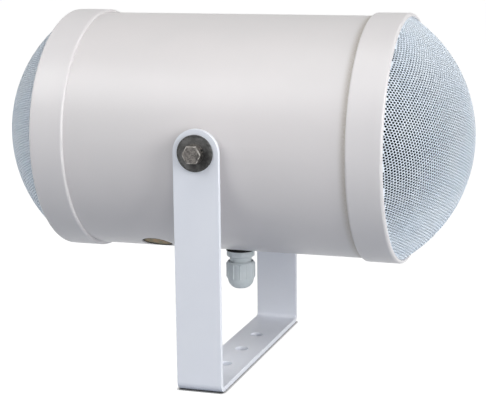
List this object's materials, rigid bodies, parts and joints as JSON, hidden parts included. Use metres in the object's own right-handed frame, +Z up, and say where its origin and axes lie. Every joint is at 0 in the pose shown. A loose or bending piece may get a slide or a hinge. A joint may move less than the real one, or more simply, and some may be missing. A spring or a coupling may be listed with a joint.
{
  "type": "bidirectional sound projector",
  "caption": "Bidirectional sound projector: round tube housing with a domed perforated grille over a drive unit at each end, tilting in a U-shaped bracket, with a cable gland underneath.",
  "frame": {"origin": "middle of the underside of the bracket's base", "axes": "+X along the housing towards its right grille, +Y to the rear bolt, +Z up from the base to the housing"},
  "size_m": [0.38, 0.2276, 0.2835],
  "materials": {
    "bracket_paint": "satin powder coat",
    "housing_paint": "satin paint on an aluminium tube",
    "cap_plastic": "satin moulded",
    "grille_paint": "satin paint on perforated sheet",
    "lining_foam": "open black foam",
    "baffle_board": "matt",
    "screw_steel": "zinc plated",
    "frame_paint": "satin black paint",
    "soft_rubber": "matt",
    "cone_paper": "pressed pulp",
    "coil_copper": "enamelled copper wire",
    "spider_cloth": "impregnated cloth",
    "plate_steel": "zinc plated",
    "ferrite": "matt pressed ferrite",
    "tag_board": "matt board with tinned tags",
    "core_steel": "varnished laminations",
    "block_plastic": "moulded",
    "terminal_brass": "plain",
    "lead_cover": "moulded",
    "gland_nylon": "moulded",
    "sintered_bronze": "sintered and weathered",
    "spacer_plastic": "moulded",
    "washer_steel": "dark oxide",
    "bolt_steel": "plain stainless"
  },
  "bodies": {
    "yoke": {"bracket": "bracket_paint"},
    "housing": {"housing_tube": "housing_paint", "end_cap_right": "cap_plastic", "end_cap_left": "cap_plastic", "grille_right": "grille_paint", "grille_left": "grille_paint", "grille_lining_right": "lining_foam", "grille_lining_left": "lining_foam", "baffle_right": "baffle_board", "baffle_left": "baffle_board", "cap_screws": "screw_steel", "driver_frame_right": "frame_paint", "driver_frame_left": "frame_paint", "driver_screws": "screw_steel", "gasket_right": "soft_rubber", "gasket_left": "soft_rubber", "surround_right": "soft_rubber", "surround_left": "soft_rubber", "spider_right": "spider_cloth", "spider_left": "spider_cloth", "top_plate_right": "plate_steel", "top_plate_left": "plate_steel", "magnet_right": "ferrite", "magnet_left": "ferrite", "pole_piece_right": "plate_steel", "pole_piece_left": "plate_steel", "driver_tags_right": "tag_board", "driver_tags_left": "tag_board", "cross_brace": "plate_steel", "transformer_core": "core_steel", "transformer_winding": "coil_copper", "transformer_strap": "plate_steel", "transformer_screws": "screw_steel", "terminal_block": "block_plastic", "terminal_screws": "terminal_brass", "lead_right": "lead_cover", "lead_left": "lead_cover", "gland_seal": "soft_rubber", "gland_body": "gland_nylon", "gland_grommet": "soft_rubber", "gland_nut": "gland_nylon", "gland_locknut": "gland_nylon", "breather_body": "soft_rubber", "breather_disc": "sintered_bronze", "front_spacer": "spacer_plastic", "rear_spacer": "spacer_plastic", "front_flat_washer": "washer_steel", "rear_flat_washer": "washer_steel", "front_spring_washer": "bolt_steel", "rear_spring_washer": "bolt_steel", "front_bolt": "bolt_steel", "rear_bolt": "bolt_steel"},
    "right_diaphragm": {"cone_right": "cone_paper", "dust_cap_right": "cone_paper", "voice_coil_right": "coil_copper"},
    "left_diaphragm": {"cone_left": "cone_paper", "dust_cap_left": "cone_paper", "voice_coil_left": "coil_copper"}
  },
  "joints": [
    {"name": "housing_tilt", "type": "hinge", "parent": "yoke", "child": "housing", "pos_m": [0, 0, 0.186], "axis": [0, 1, 0], "range_deg": [-60, 60]},
    {"name": "cone_right_travel", "type": "slide", "parent": "housing", "child": "right_diaphragm", "axis": [1, 0, 0], "range_m": [-0.002, 0.002], "stiffness_N_per_m": 1500, "deforming": ["surround_right", "spider_right"]},
    {"name": "cone_left_travel", "type": "slide", "parent": "housing", "child": "left_diaphragm", "axis": [-1, 0, 0], "range_m": [-0.002, 0.002], "stiffness_N_per_m": 1500, "deforming": ["surround_left", "spider_left"]}
  ]
}
